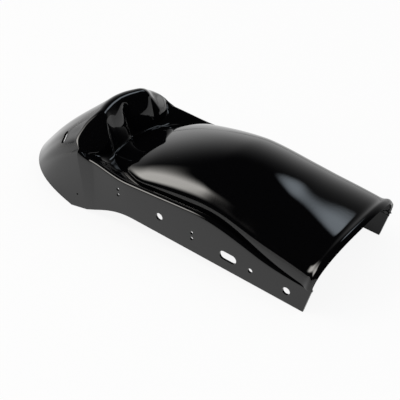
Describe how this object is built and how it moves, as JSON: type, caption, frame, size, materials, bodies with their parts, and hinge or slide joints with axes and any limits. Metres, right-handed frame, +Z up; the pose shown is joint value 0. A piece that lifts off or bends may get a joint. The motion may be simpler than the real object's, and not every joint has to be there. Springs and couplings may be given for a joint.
{
  "type": "motorcycle rear fender",
  "caption": "Gloss black bobber rear fender: thin moulded shell with side plates, domed top, rolled front lip, seat hump with a two-panel face and a boat-shaped tail.",
  "frame": {"origin": "on the floor plane that the lower edges stand on, under the middle of the bounding box", "axes": "+X forward to the arched mouth over the wheel, +Y to the left side plate, +Z up"},
  "size_m": [0.5284, 0.2056, 0.137],
  "materials": {
    "fender": "high gloss"
  },
  "bodies": {
    "root": {"fender": "fender"}
  },
  "joints": []
}
